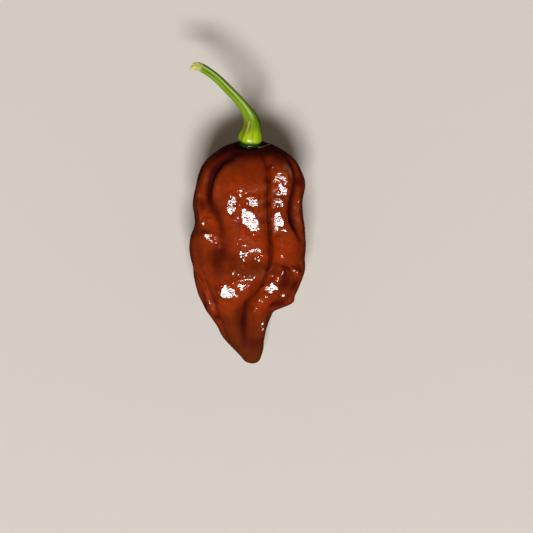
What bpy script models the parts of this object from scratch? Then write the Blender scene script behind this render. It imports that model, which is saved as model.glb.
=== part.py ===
"""A ripe brown habanero pepper lying on its side, with its green stem.

The pod lies along Y, its stem end towards +Y and its tip towards -Y, and it
rests on a small flat spot at Z = 0. All tables are in millimetres.
"""

import math

import bmesh
import bpy
import numpy as np

MM = 0.001

# How many faces go round each body and along it
POD_AROUND = 90
POD_ALONG = 60
STEM_AROUND = 25
STEM_ALONG = 42

# Sections of the pod from stem end to tip: place along Y, left side, right side,
# top, bottom, and how far the right-hand lobe bulges out beyond the right side
POD_STATIONS = (
    (24.3, 0.2, 0.2, 14.5, 14.5, 0.0),
    (23.9, -3.9, 4.2, 17.3, 10.3, 0.0),
    (23.0, -6.8, 6.9, 19.6, 7.2, 0.0),
    (21.6, -9.1, 9.6, 21.8, 4.6, 0.0),
    (19.7, -11.5, 12.0, 23.9, 2.5, 0.0),
    (17.5, -13.3, 13.7, 25.4, 1.2, 0.0),
    (15.1, -14.4, 14.6, 26.4, 0.4, 0.0),
    (12.3, -15.0, 15.0, 26.85, -0.1, 0.0),
    (9.3, -15.7, 14.8, 26.7, -0.3, 0.0),
    (6.5, -15.9, 14.6, 26.45, -0.35, 0.0),
    (3.5, -15.5, 14.8, 26.1, -0.35, 0.0),
    (0.8, -15.6, 15.2, 25.75, -0.35, 0.0),
    (-2.8, -16.7, 15.5, 25.4, -0.35, 0.0),
    (-5.6, -17.0, 15.5, 25.15, -0.35, 0.1),
    (-8.4, -16.6, 15.2, 24.8, -0.3, 0.4),
    (-12.0, -15.7, 14.2, 24.3, -0.1, 1.1),
    (-15.7, -14.8, 12.2, 23.1, 0.3, 1.9),
    (-19.0, -14.0, 9.9, 21.6, 0.9, 2.8),
    (-21.3, -13.1, 8.2, 20.2, 1.3, 3.4),
    (-22.3, -12.7, 7.6, 19.5, 1.5, 1.6),
    (-23.1, -12.3, 7.0, 19.0, 1.6, 0.2),
    (-24.9, -11.1, 5.9, 17.7, 1.9, 0.0),
    (-27.7, -9.2, 4.8, 15.7, 2.3, 0.0),
    (-30.4, -7.8, 4.1, 13.8, 2.8, 0.0),
    (-33.6, -5.2, 3.8, 11.5, 3.5, 0.0),
    (-35.8, -2.9, 3.2, 9.8, 4.3, 0.0),
    (-37.5, -1.4, 2.3, 8.0, 5.2, 0.0),
    (-38.1, 0.5, 0.5, 6.6, 6.6, 0.0),
)

# A section is a closed oval, a little fuller than an ellipse, which would be 2.0
POD_FULLNESS = 2.4

# Valleys between the lobes. Each has the side of the pod it is drawn on, how far
# its banks reach to the left hand and to the right hand of someone walking along
# it, and its line. A point on the top or underside is X, Y, depth. A point on a
# flank is Z, Y, depth.
VALLEYS = (
    ("top", 4.6, 3.6, (
        (2.6, 22.2, 0.2), (5.0, 17.6, 1.4), (5.6, 13.4, 2.3), (5.7, 7.8, 2.7),
        (5.7, 2.2, 2.7), (6.2, -3.4, 2.6), (6.4, -6.7, 2.4), (6.2, -9.5, 2.2),
        (5.3, -12.6, 2.2), (3.9, -15.4, 2.4), (2.2, -17.9, 2.4), (0.3, -20.2, 2.2),
        (-1.1, -22.4, 2.0), (-1.8, -25.2, 1.7), (-1.7, -28.0, 1.3), (-0.6, -32.0, 0.2),
    )),
    ("top", 3.6, 2.2, (
        (-2.8, 21.6, 0.1), (-5.6, 19.9, 0.8), (-8.1, 18.5, 1.4), (-10.1, 16.5, 1.9),
        (-11.4, 14.0, 1.9), (-12.0, 11.2, 1.7), (-12.0, 8.1, 1.4), (-10.9, 5.6, 1.1),
        (-9.2, 2.8, 1.0), (-8.1, -0.3, 0.9), (-7.8, -3.4, 0.8), (-7.6, -6.2, 0.2),
    )),
    ("top", 2.4, 2.6, (
        (7.6, 21.8, 0.2), (10.6, 19.9, 1.2), (12.6, 16.8, 1.9), (13.3, 13.4, 2.1),
        (12.8, 10.1, 2.2), (12.0, 7.3, 2.3), (11.8, 4.5, 2.3), (12.2, 1.7, 2.1),
        (13.2, -0.6, 1.4), (14.5, -2.8, 0.4),
    )),
    ("top", 2.6, 2.0, (
        (-15.2, -9.0, 0.1), (-14.0, -12.4, 0.5), (-12.2, -16.0, 0.7),
        (-10.6, -20.2, 0.8), (-9.2, -24.6, 0.7), (-7.8, -28.6, 0.4), (-6.2, -31.5, 0.1),
    )),
    ("under", 3.8, 4.4, (
        (-2.6, 21.8, 0.2), (-6.2, 17.0, 1.2), (-7.4, 10.0, 1.6), (-8.4, 3.0, 1.1),
        (-7.8, -3.0, 1.3), (-8.8, -9.0, 1.7), (-7.0, -16.0, 1.6), (-5.4, -22.0, 1.4),
        (-4.0, -27.0, 0.7), (-2.6, -31.0, 0.2),
    )),
    ("under", 4.2, 3.6, (
        (2.8, 21.8, 0.2), (7.2, 17.0, 1.3), (8.6, 10.5, 1.5), (7.4, 4.0, 1.2),
        (7.8, -2.0, 1.6), (8.4, -8.0, 1.2), (6.0, -14.0, 1.5), (4.4, -20.0, 1.1),
        (2.2, -26.0, 0.2),
    )),
    ("left", 3.2, 3.8, (
        (11.0, 20.5, 0.2), (9.4, 16.0, 1.1), (6.8, 10.0, 1.6), (8.0, 4.0, 1.3),
        (9.4, -2.0, 0.8), (7.2, -8.0, 1.2), (6.4, -14.0, 1.4), (7.4, -20.0, 0.8),
        (6.4, -27.0, 0.1),
    )),
    ("right", 3.8, 3.2, (
        (10.6, 20.5, 0.2), (8.6, 16.0, 1.2), (9.0, 10.0, 1.0), (7.4, 5.0, 1.5),
        (6.6, -1.0, 1.4), (8.8, -7.0, 0.9), (8.6, -12.0, 0.5), (7.0, -15.0, 0.1),
    )),
)

# Swellings, and hollows where the height is below zero, set out as the valleys are
SWELLINGS = (
    ("top", 4.6, 4.6, ((-12.8, 4.6, 0.6),)),
    ("top", 4.4, 4.4, ((6.8, 19.0, 0.5), (8.2, 15.5, 1.3), (8.4, 11.5, 1.0), (8.2, 7.0, 0.3))),
    ("top", 1.8, 1.8, ((14.0, 8.6, 0.2), (13.2, 6.4, 0.4), (13.2, 4.0, 0.4), (13.8, 1.5, 0.4))),
    ("top", 5.5, 5.5, ((10.4, -3.0, 0.6), (10.6, -7.5, 0.8))),
    ("top", 3.4, 3.4, ((3.8, -18.2, 0.7), (7.2, -17.6, 1.1), (9.8, -18.4, 0.8))),
    ("top", 3.6, 3.6, (
        (-8.6, -18.0, 0.3), (-6.6, -17.2, 0.8), (-3.6, -15.8, 1.0), (2.2, -12.0, 0.5),
    )),
    ("top", 4.0, 4.0, (
        (-7.4, -19.6, 0.4), (-6.0, -25.2, 0.7), (-3.9, -30.8, 0.7), (-1.7, -34.7, 0.3),
    )),
    ("top", 3.4, 3.4, ((4.0, -19.0, 0.6), (2.4, -22.6, 1.1), (3.2, -26.4, 1.1), (3.0, -31.0, 0.5))),
    ("top", 2.0, 2.0, ((-14.4, -1.4, 0.3), (-11.2, -2.2, 0.7), (-8.4, -3.6, 0.4))),
    ("top", 2.6, 2.6, ((-15.8, 1.7, -0.9),)),
    ("top", 4.6, 4.6, ((-13.0, -6.4, -0.5), (-9.4, -7.4, -1.2), (-6.6, -7.0, -0.6))),
    ("top", 3.6, 3.6, ((1.6, -9.4, -0.8), (3.4, -10.6, -0.6))),
    ("top", 1.8, 1.8, (
        (7.3, -9.8, -0.4), (9.5, -10.4, -0.7), (11.8, -10.7, -0.7), (14.4, -10.2, -0.4),
    )),
    ("right", 3.4, 3.4, ((13.0, -8.5, -0.3), (16.5, -10.5, -0.6))),
    ("right", 5.0, 5.0, ((15.0, 12.0, 0.4),)),
    ("left", 4.5, 4.5, ((13.5, -14.0, 0.5), (12.0, -18.0, 0.4))),
    ("left", 3.6, 3.6, ((12.0, 1.2, -0.7), (8.0, 0.0, -0.5))),
    ("under", 5.0, 5.0, ((0.6, -16.0, 0.5), (0.2, -23.0, 0.6))),
    ("under", 4.0, 4.0, ((-12.2, -1.0, -0.7), (-10.5, -3.5, -0.5))),
    ("under", 4.0, 4.0, ((11.8, 3.0, -0.6), (12.2, 0.0, -0.4))),
)

# How rounded a valley's floor is, as a share of its reach
VALLEY_FLOOR = 0.4

# The round seat of the calyx on the pod's shoulder, leaning up from level
SEAT_CENTRE = (0.1, 23.05, 18.1)
SEAT_LEAN = math.radians(22)
SEAT_RADIUS = 4.0
SEAT_BLEND = 1.6

# The stem from the calyx rim to its broken end: X, Y, Z, half width, half thickness.
# It starts 0.3 mm clear of its seat.
STEM_STATIONS = (
    (0.10, 23.35, 18.22, 0.00, 0.00),
    (0.10, 23.35, 18.22, 2.40, 2.40),
    (0.10, 23.38, 18.23, 2.90, 2.90),
    (0.10, 23.65, 18.34, 3.20, 3.15),
    (0.12, 24.60, 18.75, 3.38, 3.30),
    (0.30, 26.00, 19.30, 3.15, 3.00),
    (0.55, 27.50, 19.85, 2.68, 2.52),
    (0.62, 29.20, 20.40, 2.24, 2.08),
    (0.00, 31.00, 20.85, 1.82, 1.72),
    (-1.60, 33.50, 21.20, 1.42, 1.40),
    (-3.90, 36.20, 21.30, 1.27, 1.25),
    (-6.40, 38.80, 21.20, 1.25, 1.22),
    (-8.75, 41.10, 20.90, 1.20, 1.18),
    (-11.20, 43.05, 20.50, 1.17, 1.12),
    (-13.40, 44.40, 20.05, 1.17, 1.10),
    (-14.90, 44.80, 19.75, 1.10, 0.95),
    (-15.90, 44.50, 19.55, 0.70, 0.60),
    (-16.40, 43.95, 19.45, 0.00, 0.00),
)

# The stem has soft lengthwise edges, as a share of its thickness
STEM_EDGES = 5
STEM_EDGE_HEIGHT = 0.05

# The stem's direction at a ring is taken over this share of its length each way
STEM_AIM = 0.1

# A vertex this near the sphere's axis is a pole
POLE_RADIUS = 1e-5

POD_COLOUR = (0.17, 0.020, 0.004, 1.0)
POD_ROUGHNESS = 0.2
STEM_COLOUR = (0.16, 0.27, 0.015, 1.0)
STEM_ROUGHNESS = 0.4


def clear_scene():
    """Empties the scene of its objects."""
    for thing in list(bpy.data.objects):
        bpy.data.objects.remove(thing, do_unlink=True)


def surface(name, colour, roughness):
    """A plain material, not metallic, with a colour and a roughness."""
    material = bpy.data.materials.new(name)
    material.use_nodes = True
    shader = material.node_tree.nodes["Principled BSDF"]
    shader.inputs["Base Color"].default_value = colour
    shader.inputs["Roughness"].default_value = roughness
    shader.inputs["Metallic"].default_value = 0.0
    return material


def read_rows(stations, outline, spine, shares):
    """Rows of a station table, read smoothly at shares of the outline's length.

    The first `spine` columns are the body's middle line. They stand still at
    the two ends, so that the body closes there in a round cap.
    """
    table = np.array(stations)
    steps = np.linalg.norm(np.diff(outline, axis=0), axis=1)
    marks = np.concatenate(([0.0], np.cumsum(steps)))
    slopes = np.gradient(table, marks, axis=0)
    slopes[0, :spine] = 0.0
    slopes[-1, :spine] = 0.0
    spots = np.clip(shares, 0.0, 1.0) * marks[-1]
    row = np.clip(np.searchsorted(marks, spots, side="right") - 1, 0, len(marks) - 2)
    gap = (marks[row + 1] - marks[row])[:, None]
    part = (spots - marks[row])[:, None] / gap
    rest = 1.0 - part
    from_row = table[row] * (1.0 + 2.0 * part) + slopes[row] * gap * part
    from_next = table[row + 1] * (1.0 + 2.0 * rest) - slopes[row + 1] * gap * rest
    return from_row * rest**2 + from_next * part**2


def sphere_net(around, along):
    """A unit sphere, each vertex's share of the way from pole to pole, and its turn.

    Cosine and sine of the turn come back zero at the poles.
    """
    form = bmesh.new()
    bmesh.ops.create_uvsphere(form, u_segments=around, v_segments=along, radius=1.0)
    points = np.array([vert.co for vert in form.verts])
    share = np.arccos(np.clip(points[:, 2], -1.0, 1.0)) / math.pi
    radius = np.hypot(points[:, 0], points[:, 1])
    radius[radius < POLE_RADIUS] = np.inf
    return form, share, -points[:, 0] / radius, points[:, 1] / radius


def oval(share):
    """Height of the pod's oval section at a share of its half width."""
    return np.clip(1.0 - np.abs(share) ** POD_FULLNESS, 0.0, 1.0) ** (1.0 / POD_FULLNESS)


def lay_on_pod(side, line):
    """A line drawn on one side of the pod, laid on its plain sections."""
    table = np.array(POD_STATIONS)[::-1]
    places = table[:, 0]
    left, right, top, bottom, bulge = (
        np.interp(line[:, 1], places, column) for column in table[:, 1:].T
    )
    right = right + bulge
    middle_x, half_x = (left + right) / 2, (right - left) / 2
    middle_z, half_z = (top + bottom) / 2, (top - bottom) / 2
    if side in ("top", "under"):
        rise = half_z * oval((line[:, 0] - middle_x) / half_x)
        z = middle_z + (rise if side == "top" else -rise)
        return np.column_stack((line[:, 0], line[:, 1], z))
    reach = half_x * oval((line[:, 0] - middle_z) / half_z)
    x = middle_x + (reach if side == "right" else -reach)
    return np.column_stack((x, line[:, 1], line[:, 0]))


def round_corners(line, times=2):
    """A hand-drawn line with its corners cut off, its two ends kept."""
    line = np.array(line)
    for _ in range(times if len(line) > 2 else 0):
        near_first = 0.75 * line[:-1] + 0.25 * line[1:]
        near_second = 0.25 * line[:-1] + 0.75 * line[1:]
        between = np.stack((near_first, near_second), axis=1).reshape(-1, line.shape[1])
        line = np.concatenate((line[:1], between[1:-1], line[-1:]))
    return line


def nearest_on_line(points, normals, route, levels):
    """Each point's distance to a route, whether it is left of it, and the level there."""
    distance = np.linalg.norm(points - route[0], axis=1)
    on_left = np.ones(len(points), bool)
    level = np.full(len(points), levels[0])
    for start, end, first, second in zip(route, route[1:], levels, levels[1:]):
        run = end - start
        share = np.clip((points - start) @ run / (run @ run), 0.0, 1.0)
        away = points - start - share[:, None] * run
        gap = np.linalg.norm(away, axis=1)
        closer = gap < distance
        distance[closer] = gap[closer]
        level[closer] = (first + share * (second - first))[closer]
        turned = np.einsum("ij,ij->i", np.cross(run, away), normals)
        on_left[closer] = turned[closer] > 0.0
    return distance, on_left, level


def reach_of(points, normals, fold):
    """How far out of a fold's reach each point is, from 0 to 1, and the fold's level."""
    side, left_reach, right_reach, line = fold
    line = round_corners(line)
    route = lay_on_pod(side, line)
    distance, on_left, level = nearest_on_line(points, normals, route, line[:, 2])
    return np.clip(distance / np.where(on_left, left_reach, right_reach), 0.0, 1.0), level


def pod_relief(points, normals):
    """How far each point of the plain pod is raised by its lobes and folds."""
    raised = np.zeros(len(points))
    for valley in VALLEYS:
        share, depth = reach_of(points, normals, valley)
        bank = np.hypot(share, VALLEY_FLOOR) - VALLEY_FLOOR
        rim = math.hypot(1.0, VALLEY_FLOOR) - VALLEY_FLOOR
        raised -= depth * (1.0 - bank / rim) ** 2
    for swelling in SWELLINGS:
        share, height = reach_of(points, normals, swelling)
        raised += height * (1.0 - share**2) ** 2
    return raised


def seat_calyx(points):
    """Flattens the pod's shoulder to the plane that the calyx sits on."""
    up = np.array((0.0, math.cos(SEAT_LEAN), math.sin(SEAT_LEAN)))
    away = points - SEAT_CENTRE
    height = away @ up
    radius = np.linalg.norm(away - height[:, None] * up, axis=1)
    hold = np.clip((SEAT_RADIUS + SEAT_BLEND - radius) / SEAT_BLEND, 0.0, 1.0)
    hold = hold**2 * (3.0 - 2.0 * hold)
    hold[height < -SEAT_RADIUS] = 0.0
    return points - (height * hold)[:, None] * up


def move_verts(form, points):
    """Puts the form's vertices at the points and returns the new normals."""
    for vert, point in zip(form.verts, points):
        vert.co = point
    form.normal_update()
    return np.array([vert.normal for vert in form.verts])


def add_body(name, form, points, material, collection):
    """Finishes a form as a smooth object, scaled from millimetres to metres."""
    move_verts(form, points * MM)
    mesh = bpy.data.meshes.new(name)
    form.to_mesh(mesh)
    form.free()
    mesh.polygons.foreach_set("use_smooth", [True] * len(mesh.polygons))
    mesh.materials.append(material)
    body = bpy.data.objects.new(name, mesh)
    collection.objects.link(body)
    return body


def add_pod(collection):
    """The lobed pod as one closed body on its flat spot."""
    form, share, cosine, sine = sphere_net(POD_AROUND, POD_ALONG)
    table = np.array(POD_STATIONS)
    outline = np.column_stack((table[:, 0], (table[:, 2] - table[:, 1]) / 2))
    place, left, right, top, bottom, bulge = read_rows(POD_STATIONS, outline, 1, share).T
    size = np.abs(cosine) ** POD_FULLNESS + np.abs(sine) ** POD_FULLNESS
    fit = np.where(size > 0.0, size, 1.0) ** (-1.0 / POD_FULLNESS)
    x = (left + right) / 2 + (right - left) / 2 * cosine * fit
    x = x + bulge * np.maximum(cosine, 0.0) ** 2
    z = (top + bottom) / 2 + (top - bottom) / 2 * sine * fit
    points = np.column_stack((x, place, z))
    normals = move_verts(form, points)
    points = points + normals * pod_relief(points, normals)[:, None]
    points = seat_calyx(points)
    points[:, 2] = np.maximum(points[:, 2], 0.0)
    skin = surface("pod skin", POD_COLOUR, POD_ROUGHNESS)
    return add_body("pod", form, points, skin, collection)


def add_stem(collection):
    """The calyx and the curved stalk, grown as one piece."""
    form, share, cosine, sine = sphere_net(STEM_AROUND, STEM_ALONG)
    outline = np.array(STEM_STATIONS)[:, :4]
    rows = read_rows(STEM_STATIONS, outline, 3, share)
    ahead = read_rows(STEM_STATIONS, outline, 3, share + STEM_AIM)[:, :3]
    behind = read_rows(STEM_STATIONS, outline, 3, share - STEM_AIM)[:, :3]
    forward = ahead - behind
    forward /= np.linalg.norm(forward, axis=1)[:, None]
    across = np.cross((0.0, 0.0, 1.0), forward)
    across /= np.linalg.norm(across, axis=1)[:, None]
    upward = np.cross(forward, across)
    turn = np.arctan2(sine, cosine)
    edge = 1.0 + STEM_EDGE_HEIGHT * np.cos(STEM_EDGES * turn)
    wide = (rows[:, 3] * edge * cosine)[:, None]
    high = (rows[:, 4] * edge * sine)[:, None]
    points = rows[:, :3] + across * wide + upward * high
    skin = surface("stem skin", STEM_COLOUR, STEM_ROUGHNESS)
    return add_body("stem", form, points, skin, collection)


clear_scene()
pepper = bpy.data.collections.new("Habanero pepper")
bpy.context.scene.collection.children.link(pepper)
add_pod(pepper)
add_stem(pepper)
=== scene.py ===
import math

import bpy
import numpy as np
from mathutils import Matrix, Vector, noise
from mathutils.bvhtree import BVHTree


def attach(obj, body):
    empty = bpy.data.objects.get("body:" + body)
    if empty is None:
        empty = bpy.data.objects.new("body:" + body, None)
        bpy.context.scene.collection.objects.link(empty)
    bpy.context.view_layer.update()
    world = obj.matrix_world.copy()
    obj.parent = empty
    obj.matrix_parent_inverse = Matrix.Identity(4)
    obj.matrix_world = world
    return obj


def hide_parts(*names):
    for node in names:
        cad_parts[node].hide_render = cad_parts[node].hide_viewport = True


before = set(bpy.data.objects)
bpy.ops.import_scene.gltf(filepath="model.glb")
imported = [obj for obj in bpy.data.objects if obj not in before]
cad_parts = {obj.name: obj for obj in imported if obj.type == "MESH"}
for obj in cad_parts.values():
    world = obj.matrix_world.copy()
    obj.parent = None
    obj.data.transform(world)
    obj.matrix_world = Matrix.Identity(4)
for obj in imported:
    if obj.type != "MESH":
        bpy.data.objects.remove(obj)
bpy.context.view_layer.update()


# The camera hangs straight above the pepper, with the stem end at the top of
# the picture. Its long lens keeps the pod's flanks from spreading.
MM = 0.001
CAMERA_PLACE = (4.62 * MM, -10.78 * MM, 759.0 * MM)
LENS_LENGTH = 180.0
SENSOR_WIDTH = 36.0
FARTHEST_SEEN = 50.0

eye = bpy.data.cameras.new("overhead_camera")
eye.lens = LENS_LENGTH
eye.sensor_width = SENSOR_WIDTH
eye.clip_end = FARTHEST_SEEN
overhead = bpy.data.objects.new("overhead_camera", eye)
overhead.location = CAMERA_PLACE
bpy.context.scene.collection.objects.link(overhead)
bpy.context.scene.camera = overhead


# The pod is a hollow fruit grown in lobes round three seed chambers. Its skin is
# thin, waxy and tight over the lobes, and sinks into folds between them. It lies
# on its side and touches the floor on one small flattened spot.
POD_AROUND = 384
POD_ALONG = 256

# Sections from stem end to tip, in millimetres: place along Y, left side, right
# side, top, bottom, and how far the right-hand lobe bulges beyond the right side
POD_SECTIONS = (
    (24.3, 0.2, 0.2, 14.5, 14.5, 0.0),
    (23.9, -3.9, 4.2, 17.3, 10.3, 0.0),
    (23.0, -6.8, 6.9, 19.6, 7.2, 0.0),
    (21.6, -9.1, 9.6, 21.8, 4.6, 0.0),
    (19.7, -11.5, 12.0, 23.9, 2.5, 0.0),
    (17.5, -13.3, 13.7, 25.4, 1.2, 0.0),
    (15.1, -14.4, 14.6, 26.4, 0.4, 0.0),
    (12.3, -15.0, 15.0, 26.85, -0.1, 0.0),
    (9.3, -15.7, 14.8, 26.7, -0.3, 0.0),
    (6.5, -15.9, 14.6, 26.45, -0.35, 0.0),
    (3.5, -15.5, 14.8, 26.1, -0.35, 0.0),
    (0.8, -15.6, 15.2, 25.75, -0.35, 0.0),
    (-2.8, -16.7, 15.5, 25.4, -0.35, 0.0),
    (-5.6, -17.0, 15.5, 25.15, -0.35, 0.1),
    (-8.4, -16.6, 15.2, 24.8, -0.3, 0.4),
    (-12.0, -15.7, 14.2, 24.3, -0.1, 1.1),
    (-15.7, -14.8, 12.2, 23.1, 0.3, 1.9),
    (-19.0, -14.0, 9.9, 21.6, 0.9, 2.8),
    (-21.3, -13.1, 8.2, 20.2, 1.3, 3.4),
    (-22.3, -12.7, 7.6, 19.5, 1.5, 1.6),
    (-23.1, -12.3, 7.0, 19.0, 1.6, 0.2),
    (-24.9, -11.1, 5.9, 17.7, 1.9, 0.0),
    (-27.7, -9.2, 4.8, 15.7, 2.3, 0.0),
    (-30.4, -7.8, 4.1, 13.8, 2.8, 0.0),
    (-33.6, -5.2, 3.8, 11.5, 3.5, 0.0),
    (-35.8, -2.9, 3.2, 9.8, 4.3, 0.0),
    (-37.5, -1.4, 2.3, 8.0, 5.2, 0.0),
    (-38.1, 0.5, 0.5, 6.6, 6.6, 0.0),
)

# The power of a section's oval, a little fuller than an ellipse, which has 2.0
POD_FULLNESS = 2.4

# Folds of the skin, each with the side of the pod it is drawn on, its reach to the
# left hand and to the right hand of someone walking from stem to tip, and its
# line. A point on the top or underside is X, Y and depth, and one on a flank is
# Z, Y and depth. Valleys part the lobes, and have a floor width and a darkness
# before the line, which weighs the painted shade and the lost gloss and wax in them.
VALLEYS = (
    ("top", 3.2, 3.8, 0.05, 0.15, (
        (2.6, 22.2, 0.2), (5.0, 17.6, 1.2), (5.6, 13.4, 2.0), (5.7, 7.8, 2.5), (5.7, 2.2, 2.5),
        (6.2, -3.4, 2.4), (6.4, -6.7, 2.2), (6.2, -9.5, 2.1), (5.3, -12.6, 2.1),
        (3.9, -15.4, 2.2), (2.2, -17.9, 2.3), (0.3, -20.2, 2.1), (-1.1, -22.4, 1.9),
    )),
    ("top", 3.4, 3.0, 0.1, 0.7, (
        (0.3, -20.2, 0.1), (-1.1, -22.4, 0.8), (-1.8, -25.2, 1.6), (-1.8, -28.0, 1.5),
        (-1.4, -31.0, 1.0), (-0.6, -34.5, 0.1),
    )),
    ("top", 3.6, 2.2, 0.5, 0.8, (
        (-2.8, 21.6, 0.1), (-5.6, 19.9, 0.8), (-8.1, 18.5, 1.4), (-10.1, 16.5, 1.9),
        (-11.4, 14.0, 1.9), (-12.0, 11.2, 1.7), (-12.0, 8.1, 1.4), (-10.9, 5.6, 1.1),
        (-9.2, 2.8, 1.0), (-8.1, -0.3, 0.9), (-7.8, -3.4, 0.8), (-7.6, -6.2, 0.2),
    )),
    ("top", 2.4, 2.6, 0.35, 0.7, (
        (7.6, 21.8, 0.2), (10.6, 19.9, 1.2), (12.6, 16.8, 1.9), (13.3, 13.4, 2.1),
        (12.8, 10.1, 2.2), (12.0, 7.3, 2.3), (11.8, 4.5, 2.3), (12.2, 1.7, 2.1),
        (13.2, -0.6, 1.4), (14.5, -2.8, 0.4),
    )),
    ("top", 2.6, 2.0, 0.5, 0.5, (
        (-15.2, -9.0, 0.1), (-14.0, -12.4, 0.5), (-12.2, -16.0, 0.7), (-10.6, -20.2, 0.8),
        (-9.2, -24.6, 0.7), (-7.8, -28.6, 0.4), (-6.2, -31.5, 0.1),
    )),
    ("top", 1.8, 1.8, 0.3, 0.0, (
        (-2.7, 9.4, 0.1), (-2.5, 7.4, 0.35), (-2.5, 5.2, 0.35), (-3.0, 2.0, 0.25),
        (-3.2, -1.0, 0.1),
    )),
    ("under", 3.8, 4.4, 0.5, 0.4, (
        (-2.6, 21.8, 0.2), (-6.2, 17.0, 1.2), (-7.4, 10.0, 1.6), (-8.4, 3.0, 1.1),
        (-7.8, -3.0, 1.3), (-8.8, -9.0, 1.7), (-7.0, -16.0, 1.6), (-5.4, -22.0, 1.4),
        (-4.0, -27.0, 0.7), (-2.6, -31.0, 0.2),
    )),
    ("under", 4.2, 3.6, 0.5, 0.4, (
        (2.8, 21.8, 0.2), (7.2, 17.0, 1.3), (8.6, 10.5, 1.5), (7.4, 4.0, 1.2), (7.8, -2.0, 1.6),
        (8.4, -8.0, 1.2), (6.0, -14.0, 1.5), (4.4, -20.0, 1.1), (2.2, -26.0, 0.2),
    )),
    ("left", 3.2, 3.8, 0.5, 0.4, (
        (11.0, 20.5, 0.2), (9.4, 16.0, 1.1), (6.8, 10.0, 1.6), (8.0, 4.0, 1.3),
        (9.4, -2.0, 0.8), (7.2, -8.0, 1.2), (6.4, -14.0, 1.4), (7.4, -20.0, 0.8),
        (6.4, -27.0, 0.1),
    )),
    ("right", 3.8, 3.2, 0.5, 0.4, (
        (10.6, 20.5, 0.2), (8.6, 16.0, 1.2), (9.0, 10.0, 1.0), (7.4, 5.0, 1.5),
        (6.6, -1.0, 1.4), (8.8, -7.0, 0.9), (8.6, -12.0, 0.5), (7.0, -15.0, 0.1),
    )),
)

# Swellings of the lobes, and hollows where the height is below zero
SWELLINGS = (
    ("top", 4.6, 4.6, ((-12.8, 4.6, 0.6),)),
    ("top", 4.4, 4.4, ((6.8, 19.0, 0.5), (8.2, 15.5, 1.3), (8.4, 11.5, 1.0), (8.2, 7.0, 0.3))),
    ("top", 5.5, 5.5, ((10.4, -3.0, 0.6), (10.6, -7.5, 0.8))),
    ("top", 3.4, 3.4, ((3.8, -18.2, 0.7), (7.2, -17.6, 1.1), (9.8, -18.4, 0.8))),
    ("top", 3.6, 3.6, (
        (-8.6, -18.0, 0.3), (-6.6, -17.2, 0.8), (-2.6, -15.9, 1.0), (1.4, -14.7, 0.7),
        (3.8, -12.8, 0.4),
    )),
    ("top", 4.0, 4.0, (
        (-7.4, -19.6, 0.4), (-6.0, -25.2, 0.7), (-3.9, -30.8, 0.7), (-1.7, -34.7, 0.3),
    )),
    ("top", 3.0, 3.0, ((-2.5, -12.8, 0.3), (2.4, -11.8, 0.4))),
    ("top", 3.4, 3.4, (
        (4.0, -19.0, 0.6), (2.4, -22.6, 1.1), (3.2, -26.4, 1.1), (3.0, -31.0, 0.5),
    )),
    ("top", 2.0, 2.0, ((-14.4, -1.4, 0.1), (-11.2, -2.4, 0.6), (-8.4, -3.6, 0.4))),
    ("top", 2.6, 2.6, ((-15.8, 1.7, -0.9),)),
    ("top", 4.6, 4.6, ((-13.0, -6.4, -0.5), (-9.4, -7.4, -1.2), (-6.6, -7.0, -0.6))),
    ("top", 3.6, 3.6, ((1.6, -9.4, -0.8), (3.4, -10.6, -0.6))),
    ("top", 1.8, 1.8, (
        (7.3, -9.8, -0.4), (9.5, -10.4, -0.7), (11.8, -10.7, -0.7), (14.4, -10.2, -0.4),
    )),
    ("right", 3.4, 3.4, ((13.0, -8.5, -0.3), (16.5, -10.5, -0.6))),
    ("right", 5.0, 5.0, ((15.0, 12.0, 0.4),)),
    ("left", 4.5, 4.5, ((13.5, -14.0, 0.5), (12.0, -18.0, 0.4))),
    ("left", 3.6, 3.6, ((12.0, 1.2, -0.7), (8.0, 0.0, -0.5))),
    ("under", 5.0, 5.0, ((0.6, -16.0, 0.5), (0.2, -23.0, 0.6))),
    ("under", 4.0, 4.0, ((-12.2, -1.0, -0.7), (-10.5, -3.5, -0.5))),
    ("under", 4.0, 4.0, ((11.8, 3.0, -0.6), (12.2, 0.0, -0.4))),
)

# Sharp creases at the bottom of the main seam and across the lobes
CREASES = (
    ("top", 0.7, 0.7, (
        (2.6, 22.2, 0.1), (5.0, 17.6, 0.4), (5.6, 13.4, 0.6), (5.7, 7.8, 0.6), (5.7, 2.2, 0.6),
        (6.2, -3.4, 0.7), (6.4, -6.7, 0.7), (6.2, -9.5, 0.7), (5.3, -12.6, 0.7),
        (3.9, -15.4, 0.6), (2.2, -17.9, 0.5), (0.3, -20.2, 0.3), (-1.1, -22.4, 0.1),
    )),
    ("top", 1.4, 1.4, (
        (7.3, -9.8, 0.3), (9.5, -10.4, 0.5), (11.8, -10.7, 0.5), (14.4, -10.2, 0.3),
    )),
    ("top", 0.7, 0.7, (
        (-14.6, -11.0, 0.1), (-13.0, -14.0, 0.3), (-11.7, -17.0, 0.4), (-10.6, -20.0, 0.4),
        (-9.5, -24.0, 0.3), (-8.3, -27.0, 0.2), (-7.2, -30.0, 0.1),
    )),
)

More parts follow.
